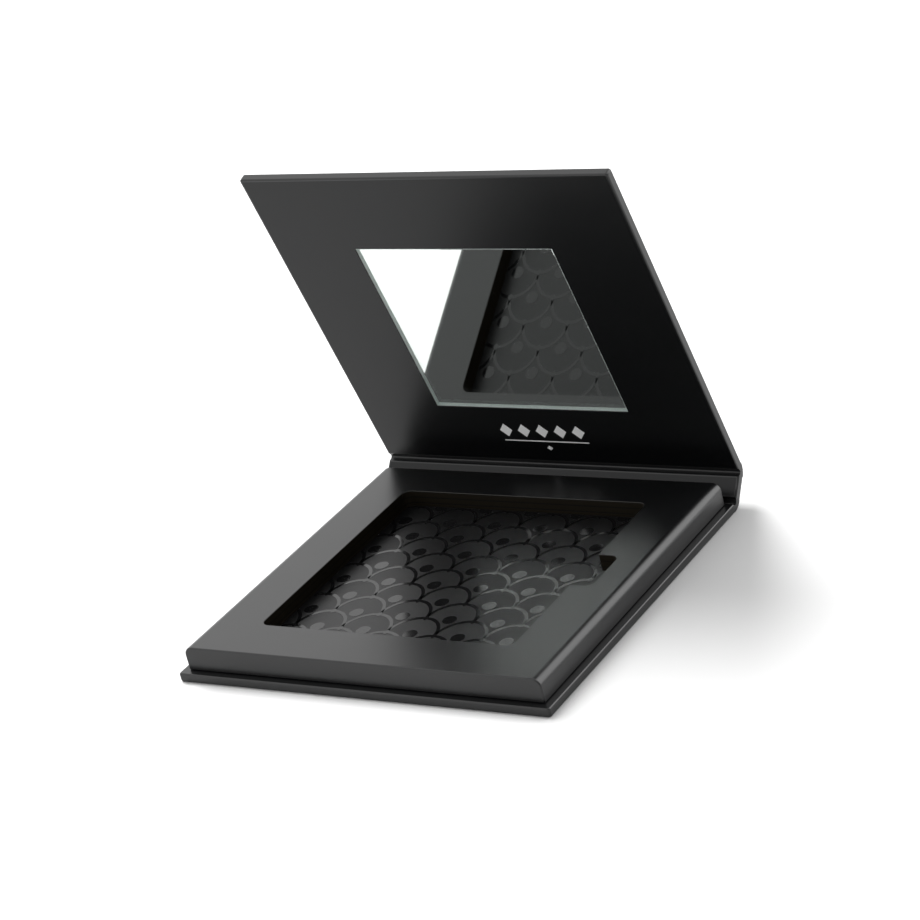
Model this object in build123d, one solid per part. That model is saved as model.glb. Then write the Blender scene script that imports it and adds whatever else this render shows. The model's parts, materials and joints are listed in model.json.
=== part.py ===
from build123d import *
import math
import os

# Book-bound make-up palette: a wrapped board case that folds at two paper creases, a square tray
# glued on its base, and a mirror let into its lid.
# Millimetres. The origin is the centre of the base board's underside, +Z is up and +Y points at
# the spine. Each leaf of the case is built lying flat and is then turned to its resting angle.

# --- the case: base, spine and lid are three boards of one thickness
case_width = 113.2
board_depth = 104.8
board_thickness = 2.5
paper = 0.25
board_corner = 0.8
board_edge = 0.5
turn_in = 10.0

# --- the creases: each axis runs half way up the boards, in the middle of the gap between them
crease_gap = 1.6
crease_radius = 1.1
crease_tongue = 0.8
spine_lean = 40.0
lid_lean = 18.4

# --- the tray: its left and right rims are widely rounded, its front and back are folded sharp
tray_width = 108.8
tray_depth = 101.8
tray_height = 6.8
tray_side_round = 2.4
tray_edge = 0.5
tray_back_inset = 0.8
floor_board_thickness = 1.05
frame_layers = ("lower", "middle", "upper")

# --- the well in the tray, with a finger notch just behind the middle of its right wall
well_width = 77.6
well_depth = 75.0
well_corner = 2.5
back_bar = 12.8
notch_width = 16.0
notch_depth = 6.3
notch_corner = 2.5
notch_offset = 1.2
magnetic_sheet_thickness = 0.5
pattern_card_thickness = 0.3
insert_clearance = 0.15

# --- the mirror in the lid, measured from the lid's crease axis
mirror_width = 61.0
mirror_height = 59.0
mirror_centre = 51.9
window_clearance = 0.2
glass_thickness = 1.4
silvering_thickness = 0.1
mirror_adhesive_thickness = 0.1
lining_margin = 1.2
lid_frame_thickness = 1.4

# --- the closure magnets and the foil ornament
magnet_diameter = 8.0
magnet_thickness = 1.0
magnet_offset = 40.0
pocket_clearance = 0.1
closed_clearance = 0.3
foil_thickness = 0.06
foil_sink = 0.03
ornament_centre = 13.6
lozenge_count = 5
lozenge_pitch = 5.8
lozenge_width = 4.0
lozenge_height = 5.0
rule_width = 27.0
rule_thickness = 0.35
rule_drop = 4.0
bead_width = 2.6

# --- worked out from the sizes above
spine_length = board_thickness + tray_height + closed_clearance
crease_height = board_thickness / 2
base_crease_y = board_depth / 2 + crease_gap
tray_back = board_depth / 2 - tray_back_inset
tray_centre = tray_back - tray_depth / 2
well_centre = tray_back - back_bar - well_depth / 2
core_bottom = board_thickness + paper
core_top = board_thickness + tray_height - paper
frame_bottom = core_bottom + floor_board_thickness
frame_layer = (core_top - frame_bottom) / len(frame_layers)
rim = board_thickness + tray_height
front_bar_centre = (tray_back - tray_depth + well_centre - well_depth / 2) / 2
lid_magnet_centre = base_crease_y - front_bar_centre
leaf_centre = crease_gap + board_depth / 2
lid_board_thickness = board_thickness - 2 * paper - lid_frame_thickness
window_floor = paper + lid_board_thickness

upward = (Align.CENTER, Align.CENTER, Align.MIN)

# The spine leans back from upright, and the lid leans forward over the tray.
lean = math.radians(spine_lean)
lid_crease_y = base_crease_y + spine_length * math.sin(lean)
lid_crease_z = crease_height + spine_length * math.cos(lean)
spine_place = Pos(0, base_crease_y, crease_height) * Rot(90 - spine_lean, 0, 0)
lid_place = Pos(0, lid_crease_y, lid_crease_z) * Rot(90 + lid_lean, 0, 0)


def rounded_block(width, depth, height, corner, edge):
    """A block standing on z = 0, with round corners and rounded top and bottom edges."""
    block = Box(width, depth, height, align=upward)
    block = fillet(block.edges().filter_by(Axis.Z), corner)
    faces = block.faces().sort_by(Axis.Z)
    return fillet(faces[0].edges() + faces[-1].edges(), edge)


def pillow_block(width, depth, height, side_round, edge):
    """A block standing on z = 0 whose long top edges are drawn over in a wide round."""
    block = Box(width, depth, height, align=upward)
    top_sides = block.faces().sort_by(Axis.Z)[-1].edges().filter_by(Axis.Y)
    block = fillet(top_sides, side_round)
    ends = block.faces().sort_by(Axis.Y)
    bottom_sides = block.faces().sort_by(Axis.Z)[0].edges().filter_by(Axis.Y)
    return fillet(ends[0].edges() + ends[-1].edges() + bottom_sides, edge)


def wrapped_leaf(depth):
    """A board, its paper skin with the turned-in margin, and the skin's opening, all flat."""
    board = Pos(0, 0, paper) * rounded_block(
        case_width - 2 * paper,
        depth - 2 * paper,
        board_thickness - 2 * paper,
        board_corner - paper,
        board_edge - paper,
    )
    skin = rounded_block(case_width, depth, board_thickness, board_corner, board_edge) - board
    return board, skin


def open_skin(skin, depth, margin):
    """The skin with the middle of its inner face cut away, for the lining."""
    cutter = Box(case_width - 2 * margin, depth - 2 * margin, paper, align=upward)
    return skin - Pos(0, 0, board_thickness - paper) * cutter


def lining_sheet(depth, margin):
    """The lining that closes the skin's opening, level with it."""
    sheet = Box(case_width - 2 * margin, depth - 2 * margin, paper, align=upward)
    return Pos(0, 0, board_thickness - paper) * sheet


def well_outline(clearance):
    """The flat outline of the well and its finger notch, smaller all round by the clearance."""
    well = RectangleRounded(
        well_width - 2 * clearance, well_depth - 2 * clearance, well_corner - clearance
    )
    # The notch starts inside the well, so that only its outer corners are round.
    reach = 2 * notch_depth
    notch = RectangleRounded(
        reach - clearance, notch_width - 2 * clearance, notch_corner - clearance
    )
    notch_x = well_width / 2 + notch_depth - clearance - (reach - clearance) / 2
    return Pos(0, well_centre, 0) * (well + Pos(notch_x, notch_offset, 0) * notch)


def well_block(bottom, height, clearance=0.0):
    """The well's outline as a solid between two heights."""
    return Pos(0, 0, bottom) * extrude(well_outline(clearance), height)


def disc_pair(diameter, thickness, y, bottom):
    """Two discs lying flat, left and right of the middle."""
    disc = Cylinder(diameter / 2, thickness, align=upward)
    left = Pos(-magnet_offset, y, bottom) * disc
    right = Pos(magnet_offset, y, bottom) * disc
    return left, right


def crease(place):
    """The folded paper of a crease: a bead on its axis and a tongue to its leaf's edge."""
    length = case_width - 2 * board_edge
    bead = Rot(0, 90, 0) * Cylinder(crease_radius, length)
    tongue = Pos(0, crease_gap / 2, 0) * Box(length, crease_gap, crease_tongue)
    return place * (bead + tongue)


parts = {}

# --- base board, its wrap and its lining
base_board, base_skin = wrapped_leaf(board_depth)
parts["base_board"] = base_board
parts["base_wrap"] = open_skin(base_skin, board_depth, turn_in)
parts["base_lining"] = lining_sheet(board_depth, turn_in)

# --- tray: a wrapped core of a floor board and three window frames
tray_block = Pos(0, tray_centre, board_thickness) * pillow_block(
    tray_width, tray_depth, tray_height, tray_side_round, tray_edge
)
tray_core = Pos(0, tray_centre, core_bottom) * pillow_block(
    tray_width - 2 * paper,
    tray_depth - 2 * paper,
    core_top - core_bottom,
    tray_side_round - paper,
    tray_edge - paper,
)
adhesive_sheet = Pos(0, tray_centre, board_thickness) * Box(
    tray_width - 2 * turn_in, tray_depth - 2 * turn_in, paper, align=upward
)
tray_wrap = tray_block - tray_core - adhesive_sheet - well_block(frame_bottom, tray_height)
parts["tray_wrap"] = tray_wrap
parts["tray_adhesive"] = adhesive_sheet

slab = Box(case_width, board_depth, floor_board_thickness, align=upward)
parts["tray_floor_board"] = tray_core & Pos(0, 0, core_bottom) * slab

pocket_diameter = magnet_diameter + 2 * pocket_clearance
magnet_bottom = core_top - magnet_thickness
pockets = disc_pair(pocket_diameter, tray_height, front_bar_centre, magnet_bottom)
for index, name in enumerate(frame_layers):
    layer = Box(case_width, board_depth, frame_layer, align=upward)
    ring = tray_core & Pos(0, 0, frame_bottom + index * frame_layer) * layer
    ring = ring - well_block(frame_bottom - paper, 2 * tray_height)
    if name == "upper":
        ring = ring - pockets[0] - pockets[1]
    parts["tray_frame_" + name] = ring
parts["tray_magnets"] = Compound(
    children=disc_pair(magnet_diameter, magnet_thickness, front_bar_centre, magnet_bottom)
)

# --- what lies on the floor of the well
card_bottom = frame_bottom + magnetic_sheet_thickness
parts["magnetic_sheet"] = well_block(frame_bottom, magnetic_sheet_thickness, insert_clearance)
parts["pattern_card"] = well_block(card_bottom, pattern_card_thickness, insert_clearance)

# --- spine: a narrow leaf between the two creases
spine_depth = spine_length - 2 * crease_gap
spine_board, spine_skin = wrapped_leaf(spine_depth)
spine_flat = spine_place * Pos(0, spine_length / 2, -crease_height)
parts["spine_board"] = spine_flat * spine_board
parts["spine_wrap"] = spine_flat * open_skin(spine_skin, spine_depth, board_edge)
parts["spine_lining"] = spine_flat * lining_sheet(spine_depth, board_edge)
parts["base_crease"] = crease(spine_place)
parts["lid_crease"] = crease(lid_place)

# --- lid: an outer board and a frame board, wrapped together, with the mirror in the window
lid_flat = lid_place * Pos(0, leaf_centre, -crease_height)
window_y = mirror_centre - leaf_centre
window_width = mirror_width + 2 * window_clearance
window_height = mirror_height + 2 * window_clearance
window = Pos(0, window_y, window_floor) * Box(
    window_width, window_height, board_thickness, align=upward
)
lid_core, lid_skin = wrapped_leaf(board_depth)
outer_slab = Box(case_width, board_depth, window_floor, align=upward)
lid_board = lid_core & outer_slab
lid_frame = lid_core - outer_slab - window
frame_magnet_y = lid_magnet_centre - leaf_centre
for pocket in disc_pair(pocket_diameter, board_thickness, frame_magnet_y, window_floor):
    lid_frame = lid_frame - pocket
parts["lid_board"] = lid_flat * lid_board
parts["lid_frame_board"] = lid_flat * lid_frame
parts["lid_magnets"] = lid_flat * Compound(
    children=disc_pair(magnet_diameter, lid_frame_thickness, frame_magnet_y, window_floor)
)
parts["lid_wrap"] = lid_flat * open_skin(lid_skin, board_depth, lining_margin)

# The foil is pressed a little way into the lining: a row of lozenges over a thin rule and a bead.
ornament_y = ornament_centre - leaf_centre
foil_bottom = board_thickness - foil_sink
lozenge = Rot(0, 0, 45) * Rectangle(1, 1)
lozenge = scale(lozenge, (lozenge_width / math.sqrt(2), lozenge_height / math.sqrt(2), 1))
bead = Rot(0, 0, 45) * Rectangle(bead_width / 2, bead_width / 2)
foil_shapes = []
for step in range(lozenge_count):
    x = (step - (lozenge_count - 1) / 2) * lozenge_pitch
    foil_shapes.append(Pos(x, ornament_y, 0) * lozenge)
foil_shapes.append(Pos(0, ornament_y - rule_drop, 0) * Rectangle(rule_width, rule_thickness))
foil_shapes.append(Pos(0, ornament_y - rule_drop - bead_width, 0) * bead)
foil = [Pos(0, 0, foil_bottom) * extrude(shape, foil_thickness) for shape in foil_shapes]
lid_lining = lining_sheet(board_depth, lining_margin) - window
for piece in foil:
    lid_lining = lid_lining - piece
parts["lid_lining"] = lid_flat * lid_lining
parts["lid_ornament"] = lid_flat * Compound(children=foil)

# The mirror is stuck to the bottom of its window: tape, then the silvered back, then the glass.
mirror_layers = (
    ("mirror_adhesive", mirror_adhesive_thickness),
    ("mirror_silvering", silvering_thickness),
    ("mirror_glass", glass_thickness),
)
layer_bottom = window_floor
for name, thickness in mirror_layers:
    sheet = Box(mirror_width, mirror_height, thickness, align=upward)
    parts[name] = lid_flat * Pos(0, window_y, layer_bottom) * sheet
    layer_bottom = layer_bottom + thickness

os.makedirs("parts", exist_ok=True)
for name, shape in parts.items():
    export_step(shape, "parts/" + name + ".step")
print("nodes", len(parts))
print("spine crease at y", round(base_crease_y, 3), "z", crease_height)
print("lid crease at y", round(lid_crease_y, 3), "z", round(lid_crease_z, 3))
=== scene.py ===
# %% [markdown]
# # A book-bound make-up palette
# The palette is made like a book: a base board, a narrow spine and a lid, joined by two paper
# creases. A wrapped tray with a square well sits on the base, and a mirror is let into the lid.
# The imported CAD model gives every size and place, and this script builds the looks around it.

# %% Load the fixed frame
import json
import math

import bmesh
import bpy
from mathutils import Matrix, Vector


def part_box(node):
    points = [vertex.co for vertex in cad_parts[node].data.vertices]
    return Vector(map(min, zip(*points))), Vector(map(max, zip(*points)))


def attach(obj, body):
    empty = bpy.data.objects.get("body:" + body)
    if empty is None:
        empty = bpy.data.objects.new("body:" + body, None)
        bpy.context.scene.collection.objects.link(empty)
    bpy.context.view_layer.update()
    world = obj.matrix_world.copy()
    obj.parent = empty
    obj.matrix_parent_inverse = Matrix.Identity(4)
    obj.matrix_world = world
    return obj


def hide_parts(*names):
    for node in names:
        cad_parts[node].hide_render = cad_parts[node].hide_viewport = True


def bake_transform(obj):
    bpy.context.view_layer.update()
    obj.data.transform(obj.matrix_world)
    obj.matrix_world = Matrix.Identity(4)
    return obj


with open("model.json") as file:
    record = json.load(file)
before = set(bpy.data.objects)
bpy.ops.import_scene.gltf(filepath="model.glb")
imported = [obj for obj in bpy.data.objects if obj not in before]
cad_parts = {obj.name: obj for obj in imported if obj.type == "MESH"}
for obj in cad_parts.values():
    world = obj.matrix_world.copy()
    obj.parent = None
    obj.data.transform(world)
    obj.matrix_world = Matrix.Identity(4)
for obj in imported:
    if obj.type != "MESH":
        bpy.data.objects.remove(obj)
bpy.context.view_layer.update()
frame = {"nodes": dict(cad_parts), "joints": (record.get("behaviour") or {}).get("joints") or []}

mm = 0.001
scene = bpy.context.scene
nodes = frame["nodes"]

# %% [markdown]
# The lid and the spine stand at an angle, and a box-shaped piece is easiest to make lying flat.
# Both joints reach their upper limit when the case lies open flat, so the limits say how far each
# leaf is turned at rest. A matrix then carries a piece from its flat place to its resting place.

# %% Places of the three leaves
joints = {joint["name"]: joint for joint in frame["joints"]}
spine_axis = Vector(joints["spine_fold"]["pos_m"])
lid_axis = Vector(joints["lid_fold"]["pos_m"])
spine_turn = math.radians(joints["spine_fold"]["range_deg"][1])
lid_turn = spine_turn + math.radians(joints["lid_fold"]["range_deg"][1])
base_place = Matrix.Translation(spine_axis)
spine_place = Matrix.Translation(spine_axis) @ Matrix.Rotation(spine_turn, 4, "X")
lid_place = Matrix.Translation(lid_axis) @ Matrix.Rotation(lid_turn, 4, "X")
print("spine turned", round(math.degrees(spine_turn), 1), "lid turned", round(math.degrees(lid_turn), 1))


def flat_box(node, place):
    """The lowest and highest corner of a CAD node, seen in a leaf's own flat frame."""
    back = place.inverted()
    points = [back @ vertex.co for vertex in nodes[node].data.vertices]
    low = Vector([min(p[i] for p in points) for i in range(3)])
    high = Vector([max(p[i] for p in points) for i in range(3)])
    return low, high


# %% [markdown]
# The camera looks down on the front right corner of the palette, from far away with a long lens,
# and is rolled a little. A track quaternion points it, and a turn about its own axis rolls it.

# %% Camera
camera_azimuth = math.radians(36.24)
camera_elevation = math.radians(24.0)
camera_roll = math.radians(-14.04)
camera_place = Vector((0.4236, -0.5635, 0.3522))
look = Vector((
    -math.sin(camera_azimuth) * math.cos(camera_elevation),
    math.cos(camera_azimuth) * math.cos(camera_elevation),
    -math.sin(camera_elevation),
))
camera_data = bpy.data.cameras.new("camera")
camera_data.lens = 116.3
camera = bpy.data.objects.new("camera", camera_data)
scene.collection.objects.link(camera)
aimed = look.to_track_quat("-Z", "Y").to_matrix().to_4x4()
camera.matrix_world = Matrix.Translation(camera_place) @ aimed @ Matrix.Rotation(camera_roll, 4, "Z")
scene.camera = camera

# %% [markdown]
# The palette stands in a white studio. The sky is brightest on the left and falls off to the
# right. A rim lamp at the back right brightens the tray's rounded rim. The floor is a plain pale
# sheet. A wide key light from the back left lays a soft shadow on it, and only the floor takes
# that light, so the dark papers keep their soft gradients.

# %% Light and floor
world = bpy.data.worlds.new("studio")
world.use_nodes = True
sky = world.node_tree.nodes["Background"]
sky.inputs["Color"].default_value = (1.0, 1.0, 1.0, 1.0)
sky_way = world.node_tree.nodes.new("ShaderNodeTexCoord")
sky_side = world.node_tree.nodes.new("ShaderNodeVectorMath")
sky_side.operation = "DOT_PRODUCT"
sky_side.inputs[1].default_value = (-0.97, 0.08, 0.2)
sky_level = world.node_tree.nodes.new("ShaderNodeMath")
sky_level.operation = "MULTIPLY_ADD"
sky_level.inputs[1].default_value = 0.68
sky_level.inputs[2].default_value = 1.02
world.node_tree.links.new(sky_way.outputs["Generated"], sky_side.inputs[0])
world.node_tree.links.new(sky_side.outputs["Value"], sky_level.inputs[0])
world.node_tree.links.new(sky_level.outputs["Value"], sky.inputs["Strength"])
scene.world = world
scene.view_settings.view_transform = "Standard"

rim_data = bpy.data.lights.new("rim_lamp", "AREA")
rim_data.shape = "RECTANGLE"
rim_data.size = 0.9
rim_data.size_y = 1.9
rim_data.energy = 17.0
rim_lamp = bpy.data.objects.new("rim_lamp", rim_data)
rim_place = Vector((0.86, 1.04, 0.82))
rim_aim = (-rim_place).to_track_quat("-Z", "Y").to_matrix().to_4x4()
rim_lamp.matrix_world = Matrix.Translation(rim_place) @ rim_aim
scene.collection.objects.link(rim_lamp)

floor_size = 6.0
floor_mesh = bmesh.new()
bmesh.ops.create_grid(floor_mesh, x_segments=1, y_segments=1, size=floor_size / 2)
floor_data = bpy.data.meshes.new("floor")
floor_mesh.to_mesh(floor_data)
floor_mesh.free()
floor = bpy.data.objects.new("floor", floor_data)
scene.collection.objects.link(floor)

key_data = bpy.data.lights.new("key_lamp", "SUN")
key_data.energy = 7.0
key_data.angle = math.radians(34)
key_lamp = bpy.data.objects.new("key_lamp", key_data)
key_way = Vector((0.58, -0.36, -0.73))
key_lamp.matrix_world = key_way.to_track_quat("-Z", "Y").to_matrix().to_4x4()
scene.collection.objects.link(key_lamp)
lit_by_key = bpy.data.collections.new("lit_by_key")
lit_by_key.objects.link(floor)
key_lamp.light_linking.receiver_collection = lit_by_key

# %% [markdown]
# Every finish starts from one Principled shader. Numbers that are the same all over the surface
# are set straight on its sockets, and only what changes over the surface is wired in.

# %% Material helper


def new_finish(name, color, roughness, **sockets):
    """A material with its Principled shader set, and a helper to add nodes to it."""
    finish = bpy.data.materials.new(name)
    finish.use_nodes = True
    shader = finish.node_tree.nodes["Principled BSDF"]
    shader.inputs["Base Color"].default_value = (*color, 1.0)
    shader.inputs["Roughness"].default_value = roughness
    for socket, value in sockets.items():
        shader.inputs[socket.replace("_", " ")].default_value = value
    return finish, shader


def add(finish, kind, **settings):
    """A node of that kind in the material, with its settings."""
    node = finish.node_tree.nodes.new(kind)
    for key, value in settings.items():
        setattr(node, key, value)
    return node


floor_finish, floor_shader = new_finish("floor_paper", (0.43, 0.43, 0.43), 0.7)
floor_data.materials.append(floor_finish)

# %% [markdown]
# Soft-touch paper looks flat at first sight, but it is not. Its colour drifts a little from place
# to place, its film has a fine grain, and the gloss varies where hands and boards have rubbed it.
# Several papers share this, so it is one node group with its own values in each material.

# %% Paper grain group


def group_input(group, name, kind, value):
    """A named input of a node group."""
    socket = group.interface.new_socket(name, in_out="INPUT", socket_type=kind)
    socket.default_value = value


paper_grain = bpy.data.node_groups.new("paper_grain", "ShaderNodeTree")
group_input(paper_grain, "Dark", "NodeSocketColor", (0.01, 0.01, 0.01, 1.0))
group_input(paper_grain, "Light", "NodeSocketColor", (0.02, 0.02, 0.02, 1.0))
group_input(paper_grain, "Rough Low", "NodeSocketFloat", 0.35)
group_input(paper_grain, "Rough High", "NodeSocketFloat", 0.5)
group_input(paper_grain, "Cloud Scale", "NodeSocketFloat", 45.0)
group_input(paper_grain, "Grain Scale", "NodeSocketFloat", 2500.0)
paper_grain.interface.new_socket("Color", in_out="OUTPUT", socket_type="NodeSocketColor")
paper_grain.interface.new_socket("Roughness", in_out="OUTPUT", socket_type="NodeSocketFloat")
paper_grain.interface.new_socket("Height", in_out="OUTPUT", socket_type="NodeSocketFloat")
grain_in = paper_grain.nodes.new("NodeGroupInput")
grain_out = paper_grain.nodes.new("NodeGroupOutput")
grain_place = paper_grain.nodes.new("ShaderNodeTexCoord")
clouds = paper_grain.nodes.new("ShaderNodeTexNoise")
clouds.inputs["Detail"].default_value = 4.0
fibres = paper_grain.nodes.new("ShaderNodeTexNoise")
fibres.inputs["Detail"].default_value = 3.0
cloud_color = paper_grain.nodes.new("ShaderNodeMix")
cloud_color.data_type = "RGBA"
cloud_rough = paper_grain.nodes.new("ShaderNodeMapRange")
wire = paper_grain.links.new
wire(grain_place.outputs["Object"], clouds.inputs["Vector"])
wire(grain_place.outputs["Object"], fibres.inputs["Vector"])
wire(grain_in.outputs["Cloud Scale"], clouds.inputs["Scale"])
wire(grain_in.outputs["Grain Scale"], fibres.inputs["Scale"])
wire(clouds.outputs["Fac"], cloud_color.inputs["Factor"])
wire(grain_in.outputs["Dark"], cloud_color.inputs["A"])
wire(grain_in.outputs["Light"], cloud_color.inputs["B"])
wire(clouds.outputs["Fac"], cloud_rough.inputs["Value"])
wire(grain_in.outputs["Rough Low"], cloud_rough.inputs["To Min"])
wire(grain_in.outputs["Rough High"], cloud_rough.inputs["To Max"])
wire(cloud_color.outputs["Result"], grain_out.inputs["Color"])
wire(cloud_rough.outputs["Result"], grain_out.inputs["Roughness"])
wire(fibres.outputs["Fac"], grain_out.inputs["Height"])

# %% Papers and boards


def paper_finish(name, dark, light, rough_low, rough_high, grain=2500.0, depth=0.02, **sockets):
    """A paper: the grain group drives colour, roughness and a very shallow bump."""
    finish, shader = new_finish(name, dark, rough_low, **sockets)
    group = add(finish, "ShaderNodeGroup")
    group.node_tree = paper_grain
    group.inputs["Dark"].default_value = (*dark, 1.0)
    group.inputs["Light"].default_value = (*light, 1.0)
    group.inputs["Rough Low"].default_value = rough_low
    group.inputs["Rough High"].default_value = rough_high
    group.inputs["Grain Scale"].default_value = grain
    bump = add(finish, "ShaderNodeBump")
    bump.inputs["Strength"].default_value = 0.25
    bump.inputs["Distance"].default_value = depth * mm
    link = finish.node_tree.links.new
    link(group.outputs["Color"], shader.inputs["Base Color"])
    link(group.outputs["Roughness"], shader.inputs["Roughness"])
    link(group.outputs["Height"], bump.inputs["Height"])
    link(bump.outputs["Normal"], shader.inputs["Normal"])
    return finish


soft_touch = paper_finish("soft_touch_paper", (0.0020, 0.0022, 0.0025), (0.0032, 0.0034, 0.0037), 0.27, 0.34)
lining_touch = paper_finish(
    "lining_paper", (0.0019, 0.0021, 0.0024), (0.0029, 0.0031, 0.0034), 0.29, 0.36, Specular_IOR_Level=0.27
)
crease_touch = paper_finish("crease_paper", (0.0024, 0.0025, 0.0028), (0.0042, 0.0044, 0.0047), 0.32, 0.42)
cut_paper = paper_finish("cut_paper_edge", (0.035, 0.034, 0.032), (0.07, 0.068, 0.063), 0.5, 0.7)
card_finish = paper_finish(
    "matt_card", (0.0032, 0.0033, 0.0035), (0.0048, 0.0049, 0.0052), 0.36, 0.44, Specular_IOR_Level=0.33
)
tape_finish = paper_finish("tape", (0.5, 0.48, 0.4), (0.6, 0.57, 0.48), 0.4, 0.6)
magnet_rubber = paper_finish("magnet_rubber", (0.02, 0.018, 0.015), (0.035, 0.03, 0.026), 0.5, 0.7)

# The walls of the well are cut through the laminated boards: a dark glue line marks every joint
# of two layers, and the board's colour drifts along it.
layer_low, layer_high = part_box("tray_frame_lower")
layer_step = layer_high.z - layer_low.z
brown_board = paper_finish(
    "laminated_board", (0.0026, 0.0019, 0.0008), (0.0105, 0.0074, 0.0028), 0.55, 0.75, 900.0, 0.06,
    Specular_IOR_Level=0.12,
)
board_place = add(brown_board, "ShaderNodeTexCoord")
board_split = add(brown_board, "ShaderNodeSeparateXYZ")
board_count = add(brown_board, "ShaderNodeMapRange", clamp=False)
board_count.inputs["From Min"].default_value = layer_low.z
board_count.inputs["From Max"].default_value = layer_low.z + layer_step
glue_near = add(brown_board, "ShaderNodeMath", operation="PINGPONG")
glue_near.inputs[1].default_value = 0.5
glue_line = add(brown_board, "ShaderNodeMapRange")
glue_line.inputs["From Min"].default_value = 0.04
glue_line.inputs["From Max"].default_value = 0.14
glue_line.inputs["To Min"].default_value = 0.15
glue_line.inputs["To Max"].default_value = 1.0
glue_mix = add(brown_board, "ShaderNodeMix", data_type="RGBA", blend_type="MULTIPLY")
glue_mix.inputs["Factor"].default_value = 1.0
board_shader = brown_board.node_tree.nodes["Principled BSDF"]
board_color = board_shader.inputs["Base Color"].links[0].from_socket
board_link = brown_board.node_tree.links.new
board_link(board_place.outputs["Object"], board_split.inputs["Vector"])
board_link(board_split.outputs["Z"], board_count.inputs["Value"])
board_link(board_count.outputs["Result"], glue_near.inputs[0])
board_link(glue_near.outputs["Value"], glue_line.inputs["Value"])
board_link(board_color, glue_mix.inputs["A"])
board_link(glue_line.outputs["Result"], glue_mix.inputs["B"])
board_link(glue_mix.outputs["Result"], board_shader.inputs["Base Color"])

varnish = paper_finish(
    "spot_varnish", (0.0032, 0.0033, 0.0035), (0.0048, 0.0049, 0.0052), 0.09, 0.13, 1500.0, 0.005,
    Specular_IOR_Level=0.38,
)
foil_finish = paper_finish(
    "silver_foil", (0.90, 0.91, 0.91), (0.97, 0.97, 0.96), 0.30, 0.42, 1800.0, 0.01, Metallic=0.25
)
nickel, nickel_shader = new_finish("nickel", (0.7, 0.68, 0.64), 0.25, Metallic=1.0)
silvering, silvering_shader = new_finish("silvering", (0.93, 0.95, 0.94), 0.015, Metallic=1.0)
clear_glass, glass_shader = new_finish("clear_glass", (0.97, 1.0, 0.985), 0.0, Transmission_Weight=1.0)
glass_shader.inputs["IOR"].default_value = 1.5
# The ground edge is frosted pale green, and its colour is raised further as a painted glow of light piped through
# the pane.
ground_edge_with_painted_glow = paper_finish(
    "ground_glass_edge_painted_glow", (0.70, 0.79, 0.76), (0.82, 0.90, 0.87), 0.4, 0.55, 3000.0, 0.01
)

# %% [markdown]
# The covers are rounded blocks. A unit cube is scaled to size, its upright corners are bevelled
# first and then the edges of its two faces. A weighted-normal modifier keeps the large faces flat
# to the eye while the thin bevels catch the light.

# %% Block helpers


def scaled_cube(low, high):
    """A bmesh cube that fills the box from low to high."""
    block = bmesh.new()
    bmesh.ops.create_cube(block, size=1.0)
    low, high = Vector(low), Vector(high)
    bmesh.ops.scale(block, vec=high - low, verts=block.verts)
    bmesh.ops.translate(block, vec=(low + high) / 2, verts=block.verts)
    return block


def round_edges(block, chosen, radius, segments):
    """Bevels the edges that a test picks."""
    edges = [edge for edge in block.edges if chosen(edge)]
    bmesh.ops.bevel(
        block, geom=edges, offset=radius, offset_type="OFFSET", segments=segments,
        profile=0.5, affect="EDGES", material=-1,
    )


def upright(edge):
    """True for an edge along Z."""
    a, b = edge.verts
    return abs(a.co.z - b.co.z) > 1e-6 and (a.co.xy - b.co.xy).length < 1e-7


def finish_piece(name, block, finish, place=None):
    """Turns a bmesh into an object with its place in its mesh."""
    if place is not None:
        bmesh.ops.transform(block, matrix=place, verts=block.verts)
    mesh = bpy.data.meshes.new(name)
    block.to_mesh(mesh)
    block.free()
    mesh.materials.append(finish)
    piece = bpy.data.objects.new(name, mesh)
    scene.collection.objects.link(piece)
    return piece


def cut_away(piece, cutter):
    """Subtracts one object from another for good, and removes the cutter."""
    modifier = piece.modifiers.new("cut", "BOOLEAN")
    modifier.operation = "DIFFERENCE"
    modifier.solver = "EXACT"
    modifier.material_mode = "TRANSFER"
    modifier.object = cutter
    bpy.context.view_layer.update()
    evaluated = piece.evaluated_get(bpy.context.evaluated_depsgraph_get())
    mesh = bpy.data.meshes.new_from_object(evaluated)
    piece.modifiers.remove(modifier)
    piece.data = mesh
    bpy.data.objects.remove(cutter)


def smooth_flats(piece):
    """Smooth shading that leaves flat faces flat."""
    piece.data.shade_smooth()
    piece.data.set_sharp_from_angle(angle=math.radians(50))
    weighted = piece.modifiers.new("flat_faces", "WEIGHTED_NORMAL")
    weighted.keep_sharp = True
    weighted.weight = 80
    return piece


# %% [markdown]
# Each leaf of the case is one block. Its free corners and edges are round. On the side of a
# crease the outer edge stays square, because there the paper runs straight on into the crease.
# The lining of the spine and lid is a hair lower than its margin, which leaves a fine seam. The
# margin is narrower than the flat part of the round corners, so that the inset doesn't fold over.

# %% Base, spine and lid covers
corner_radius = 0.8 * mm
edge_radius = 0.45 * mm
lining_margin = 0.24 * mm
seam_width = 0.08 * mm
seam_depth = 0.03 * mm


def leaf_cover(low, high, creases):
    """A leaf in its flat frame. creases holds the ends, -1 or 1 along Y, where a crease begins."""
    block = scaled_cube(low, high)
    middle = (low + high) / 2

    def free_corner(edge):
        side = -1 if edge.verts[0].co.y < middle.y else 1
        return upright(edge) and side not in creases

    def outer_crease(edge):
        a, b = (vertex.co for vertex in edge.verts)
        at_crease = any(min(a.y * s, b.y * s) > (high.y if s > 0 else -low.y) - 1e-6 for s in creases)
        return at_crease and max(a.z, b.z) < middle.z

    def face_edge(edge):
        a, b = (vertex.co for vertex in edge.verts)
        level = abs(a.z - b.z) < 1e-7
        return level and not outer_crease(edge)

    if len(creases) < 2:
        round_edges(block, free_corner, corner_radius, 8)
    round_edges(block, face_edge, edge_radius, 6)
    return block


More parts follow.
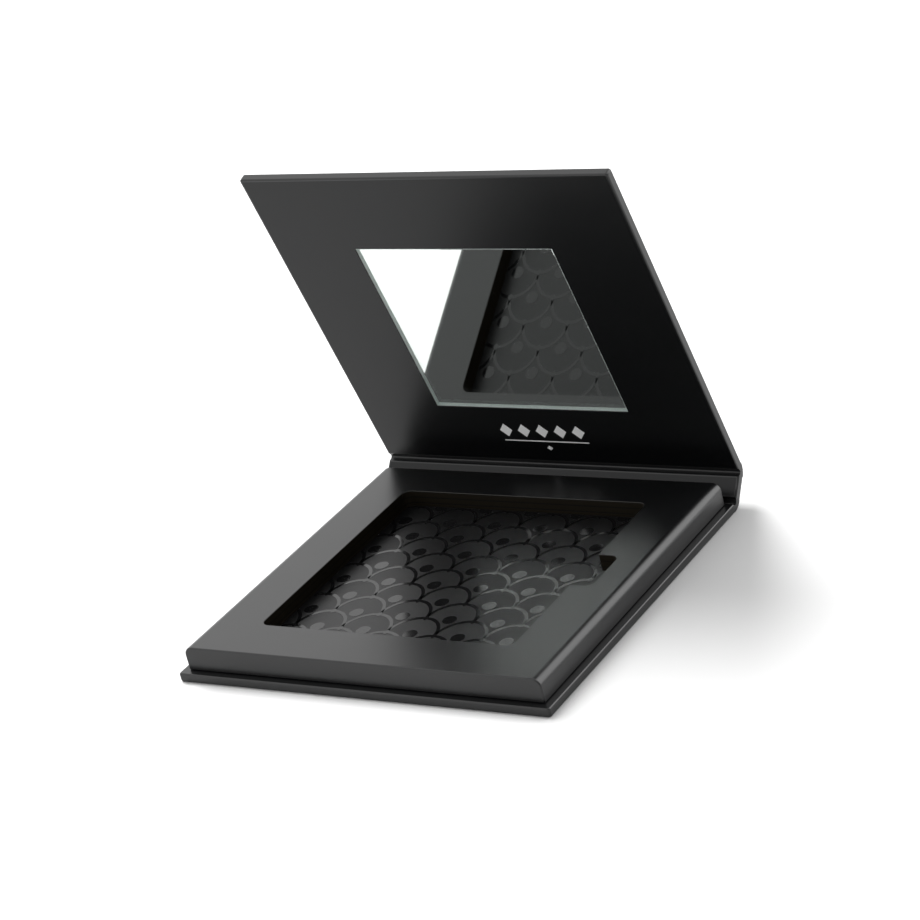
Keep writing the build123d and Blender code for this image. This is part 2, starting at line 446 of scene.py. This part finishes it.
def let_in_lining(block):
    """Sink the inner face a little, behind a narrow margin, as the pasted lining lies."""
    inner_face = max(block.faces, key=lambda face: face.calc_center_median().z + face.calc_area())
    bmesh.ops.inset_region(block, faces=[inner_face], thickness=lining_margin, depth=0)
    bmesh.ops.inset_region(block, faces=[inner_face], thickness=seam_width, depth=-seam_depth)
    inner_face.material_index = 1
    return block


base_low, base_high = flat_box("base_wrap", base_place)
spine_low, spine_high = flat_box("spine_wrap", spine_place)
lid_low, lid_high = flat_box("lid_wrap", lid_place)
base_cover = finish_piece("base_cover", leaf_cover(base_low, base_high, {1}), soft_touch, base_place)
spine_block = let_in_lining(leaf_cover(spine_low, spine_high, {-1, 1}))
spine_cover = finish_piece("spine_cover", spine_block, soft_touch, spine_place)
lid_block = let_in_lining(leaf_cover(lid_low, lid_high, {-1}))
lid_cover = finish_piece("lid_cover", lid_block, soft_touch)
spine_cover.data.materials.append(lining_touch)
lid_cover.data.materials.append(lining_touch)

glass_low, glass_high = flat_box("mirror_glass", lid_place)
tape_low, tape_high = flat_box("mirror_adhesive", lid_place)
window_gap = 0.2 * mm
window = scaled_cube(
    (glass_low.x - window_gap, glass_low.y - window_gap, tape_low.z),
    (glass_high.x + window_gap, glass_high.y + window_gap, lid_high.z + 1 * mm),
)
cut_away(lid_cover, finish_piece("window", window, cut_paper))
lid_cover.data.transform(lid_place)
for piece, body, covered in (
    (base_cover, "base", ("base_wrap", "base_lining", "base_board")),
    (spine_cover, "spine", ("spine_wrap", "spine_lining", "spine_board")),
    (lid_cover, "lid", ("lid_wrap", "lid_lining", "lid_board", "lid_frame_board", "lid_magnets")),
):
    smooth_flats(piece)
    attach(piece, body)
    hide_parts(*covered)
print("lid cover faces", len(lid_cover.data.polygons))

# %% [markdown]
# The tray is wrapped in the same paper, drawn over its rim and cut at the edge of the well. Its
# front and back are folded sharp, with a shallow step where the paper is turned over. The
# cover is a thin shell, so that the cut board layers of the CAD model show in the well's walls.

# %% Tray cover
tray_low, tray_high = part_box("tray_wrap")
card_low, card_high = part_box("pattern_card")
frame_low, frame_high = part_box("tray_frame_upper")
floor_board_low, floor_board_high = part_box("tray_floor_board")
tray_side_round = 2.4 * mm
tray_edge = 0.45 * mm
paper_thickness = tray_high.z - frame_high.z
insert_gap = 0.15 * mm
notch_corner = 2.5 * mm
well_corner = 2.5 * mm
card_points = [vertex.co for vertex in nodes["pattern_card"].data.vertices]
well_right = -card_low.x + insert_gap
notch_points = [p.y for p in card_points if p.x > well_right + notch_corner]
notch_front = min(notch_points) - insert_gap
notch_back = max(notch_points) + insert_gap


def pillow_block(low, high, side_round, edge):
    """A block whose long top edges are drawn over in a wide round, with folded ends."""
    block = scaled_cube(low, high)
    middle = (low + high) / 2

    def along_y(e):
        a, b = (vertex.co for vertex in e.verts)
        return abs(a.x - b.x) < 1e-7 and abs(a.z - b.z) < 1e-7

    def end_outline(e):
        a, b = (vertex.co for vertex in e.verts)
        return min(a.y, b.y) > high.y - 1e-7 or max(a.y, b.y) < low.y + 1e-7

    def bottom_side(e):
        return along_y(e) and e.verts[0].co.z < low.z + 1e-7

    round_edges(block, lambda e: along_y(e) and e.verts[0].co.z > middle.z, side_round, 12)
    if edge:
        round_edges(block, lambda e: end_outline(e) or bottom_side(e), edge, 4)
        ends = [face for face in block.faces if abs(face.normal.y) > 0.999]
        bmesh.ops.inset_individual(block, faces=ends, thickness=0.12 * mm, depth=-0.05 * mm)
    return block


tray_block = pillow_block(tray_low, tray_high, tray_side_round, tray_edge)
tray_cover = finish_piece("tray_cover", tray_block, soft_touch)
inset = Vector((paper_thickness, paper_thickness, 0))
hollow_low = Vector((tray_low.x, tray_low.y, tray_low.z - 1 * mm)) + inset
hollow_high = Vector((tray_high.x, tray_high.y, frame_high.z)) - inset
hollow = pillow_block(hollow_low, hollow_high, tray_side_round - paper_thickness, 0)
cut_away(tray_cover, finish_piece("hollow", hollow, cut_paper))
well = scaled_cube(
    (-well_right, card_low.y - insert_gap, card_low.z),
    (well_right, card_high.y + insert_gap, tray_high.z + 1 * mm),
)
round_edges(well, upright, well_corner, 8)
cut_away(tray_cover, finish_piece("well", well, cut_paper))
notch = scaled_cube(
    (0, notch_front, card_low.z),
    (card_high.x + insert_gap, notch_back, tray_high.z + 1 * mm),
)
round_edges(notch, upright, notch_corner, 8)
cut_away(tray_cover, finish_piece("notch", notch, cut_paper))
smooth_flats(tray_cover)
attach(tray_cover, "base")
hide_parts("tray_wrap")
print("well", round(2 * well_right / mm, 1), "notch", round(notch_front / mm, 1), round(notch_back / mm, 1))

# %% [markdown]
# At a crease the outer paper and the inner lining are glued together and bend as one. The section
# is a closed curve: its outer side leaves both leaves along their faces, and its inner side dips
# towards the fold's axis. Extruded along the fold, it fills the crease between the two leaves at rest.

# %% Crease strips
lining_depth = 0.2 * mm
strip_half = (base_high.x - base_low.x) / 2 - 0.1 * mm
outer_reach = 0.33
inner_reach = 0.95


def crease_strip(name, corners, handles, bodies):
    """A solid strip along X. corners are four points in the YZ plane, with two handles for each."""
    curve = bpy.data.curves.new(name, "CURVE")
    curve.dimensions = "2D"
    curve.fill_mode = "BOTH"
    curve.resolution_u = 16
    curve.extrude = strip_half
    spline = curve.splines.new("BEZIER")
    spline.bezier_points.add(3)
    spline.use_cyclic_u = True
    for point, corner, (left, right) in zip(spline.bezier_points, corners, handles):
        point.co = (corner.y, corner.z, 0)
        point.handle_left = (left.y, left.z, 0)
        point.handle_right = (right.y, right.z, 0)
    curve_object = bpy.data.objects.new(name + "_curve", curve)
    scene.collection.objects.link(curve_object)
    bpy.context.view_layer.update()
    evaluated = curve_object.evaluated_get(bpy.context.evaluated_depsgraph_get())
    mesh = bpy.data.meshes.new_from_object(evaluated)
    bpy.data.objects.remove(curve_object)
    # The curve's X, Y and Z become the row's Y, Z and X.
    mesh.transform(Matrix(((0, 0, 1, 0), (1, 0, 0, 0), (0, 1, 0, 0), (0, 0, 0, 1))))
    strip = bmesh.new()
    strip.from_mesh(mesh)
    bmesh.ops.remove_doubles(strip, verts=strip.verts, dist=1e-7)
    bmesh.ops.recalc_face_normals(strip, faces=strip.faces)
    strip.to_mesh(mesh)
    strip.free()
    mesh.name = name
    mesh.materials.clear()
    mesh.materials.append(crease_touch)
    mesh.shade_smooth()
    mesh.set_sharp_from_angle(angle=math.radians(50))
    piece = bpy.data.objects.new(name, mesh)
    scene.collection.objects.link(piece)
    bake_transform(piece)
    return piece


def crease_section(lower, lower_box, upper, upper_box, axis):
    """The four corners of a crease's section, and their handles."""
    lower_low, lower_high = lower_box
    upper_low, upper_high = upper_box
    outer_start = lower @ Vector((0, lower_high.y, lower_low.z))
    outer_end = upper @ Vector((0, upper_low.y, upper_low.z))
    inner_start = lower @ Vector((0, lower_high.y - edge_radius, lower_high.z - lining_depth))
    inner_end = upper @ Vector((0, upper_low.y + edge_radius, upper_high.z - lining_depth))
    reach = (outer_end - outer_start).length * outer_reach
    along_lower = lower.to_3x3() @ Vector((0, reach, 0))
    along_upper = upper.to_3x3() @ Vector((0, reach, 0))
    corners = [outer_start, outer_end, inner_end, inner_start]
    handles = [
        (outer_start.lerp(inner_start, 0.33), outer_start + along_lower),
        (outer_end - along_upper, outer_end.lerp(inner_end, 0.33)),
        (inner_end.lerp(outer_end, 0.33), inner_end.lerp(axis, inner_reach)),
        (inner_start.lerp(axis, inner_reach), inner_start.lerp(outer_start, 0.33)),
    ]
    return corners, handles


base_section = crease_section(base_place, (base_low, base_high), spine_place, (spine_low, spine_high), spine_axis)
lid_section = crease_section(spine_place, (spine_low, spine_high), lid_place, (lid_low, lid_high), lid_axis)
base_crease = crease_strip("base_crease_strip", *base_section, ("base", "spine"))
lid_crease = crease_strip("lid_crease_strip", *lid_section, ("spine", "lid"))
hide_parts("base_crease")
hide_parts("lid_crease")
print("crease strip faces", len(base_crease.data.polygons), len(lid_crease.data.polygons))

# %% [markdown]
# The card on the well's floor carries a spot-varnished pattern of scallops. The varnish is a real
# layer here, thin and glossy. One scallop is half an ellipse, made by spinning a short edge, and
# the pattern repeats it in rows that are shifted by half a pitch.

# %% Scallop varnish
scallop_pitch = 14.6 * mm
row_step = 8.2 * mm
line_width = 0.95 * mm
dot_radius = 2.0 * mm
cusp_size = 2.3 * mm
varnish_height = 0.03 * mm
pattern_x = 1.8 * mm
pattern_y = 5.3 * mm


def add_arc(pattern, x, y, z):
    """Half an elliptical ring, open towards -Y."""
    half = scallop_pitch / 2
    inner = pattern.verts.new((half - line_width / 2, 0, 0))
    outer = pattern.verts.new((half + line_width / 2, 0, 0))
    edge = pattern.edges.new((inner, outer))
    spun = bmesh.ops.spin(
        pattern, geom=[inner, outer, edge], cent=(0, 0, 0), axis=(0, 0, 1), angle=math.pi, steps=24,
    )
    made = {v for face in pattern.faces for v in face.verts if not face.tag}
    for face in pattern.faces:
        face.tag = True
    made = list(made)
    stretch = Matrix.Diagonal((1, row_step / half, 1, 1))
    bmesh.ops.transform(pattern, matrix=Matrix.Translation((x, y, z)) @ stretch, verts=made)


def add_spot(pattern, x, y, z, radius, sides):
    """A flat disc, or a lozenge if it has four sides."""
    disc = bmesh.ops.create_circle(pattern, cap_ends=True, segments=sides, radius=radius)
    bmesh.ops.translate(pattern, vec=(x, y, z), verts=disc["verts"])
    for face in pattern.faces:
        face.tag = True


varnish_pattern = bmesh.new()
card_top = card_high.z
rows = range(-6, 6)
for row in rows:
    y = pattern_y + row * row_step
    lift = card_top + (row % 2) * 0.004 * mm
    for step in range(-4, 5):
        x = pattern_x + (step + 0.5 * (row % 2)) * scallop_pitch
        add_arc(varnish_pattern, x, y, lift)
        add_spot(varnish_pattern, x, y, lift, dot_radius, 32)
        add_spot(varnish_pattern, x + scallop_pitch / 2, y, lift + 0.01 * mm, cusp_size / 2, 4)
margin = 0.3 * mm
for side, normal in (
    ((card_low.x + margin, 0, 0), (-1, 0, 0)),
    ((0, card_low.y + margin, 0), (0, -1, 0)),
    ((0, card_high.y - margin, 0), (0, 1, 0)),
    ((well_right, 0, 0), (1, 0, 0)),
):
    bmesh.ops.bisect_plane(
        varnish_pattern, geom=varnish_pattern.verts[:] + varnish_pattern.edges[:] + varnish_pattern.faces[:],
        plane_co=side, plane_no=normal, clear_outer=True,
    )
raised = bmesh.ops.extrude_face_region(varnish_pattern, geom=varnish_pattern.faces[:])
raised_verts = [v for v in raised["geom"] if isinstance(v, bmesh.types.BMVert)]
bmesh.ops.translate(varnish_pattern, vec=(0, 0, varnish_height), verts=raised_verts)
bmesh.ops.recalc_face_normals(varnish_pattern, faces=varnish_pattern.faces)
scallops = finish_piece("scallop_varnish", varnish_pattern, varnish)
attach(scallops, "base")
print("varnish faces", len(scallops.data.polygons))

# %% [markdown]
# The mirror is a pane of glass with ground edges over a silvered sheet. The pane is a real slab,
# so that its pale edges show through it along the sides, as they do in a real mirror. The ground
# edges have their own frosted pale green, painted lighter still as a painted glow of the light the
# pane carries to its edges. Its back face lies just inside the silvering, so that no air is left between the two.

# %% Mirror pane
pane = scaled_cube(glass_low - Vector((0, 0, 0.03 * mm)), glass_high)
round_edges(pane, lambda edge: True, 0.12 * mm, 2)
bmesh.ops.recalc_face_normals(pane, faces=pane.faces)
mirror_pane = finish_piece("mirror_pane", pane, clear_glass)
# The side faces take the ground edge finish, whose colour holds a painted glow on top of its own frosted tone.
mirror_pane.data.materials.append(ground_edge_with_painted_glow)
for polygon in mirror_pane.data.polygons:
    polygon.material_index = 0 if abs(polygon.normal.z) > 0.9 else 1
mirror_pane.data.transform(lid_place)
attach(mirror_pane, "lid")
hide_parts("mirror_glass")

# %% [markdown]
# The CAD pieces that keep their own shape only need their finish.

# %% Finishes of the CAD pieces
cad_finishes = {
    "tray_adhesive": tape_finish,
    "tray_floor_board": brown_board,
    "tray_frame_lower": brown_board,
    "tray_frame_middle": brown_board,
    "tray_frame_upper": brown_board,
    "tray_magnets": nickel,
    "magnetic_sheet": magnet_rubber,
    "pattern_card": card_finish,
    "lid_ornament": foil_finish,
    "mirror_silvering": silvering,
    "mirror_adhesive": tape_finish,
}
for node, finish in cad_finishes.items():
    nodes[node].data.materials.clear()
    nodes[node].data.materials.append(finish)
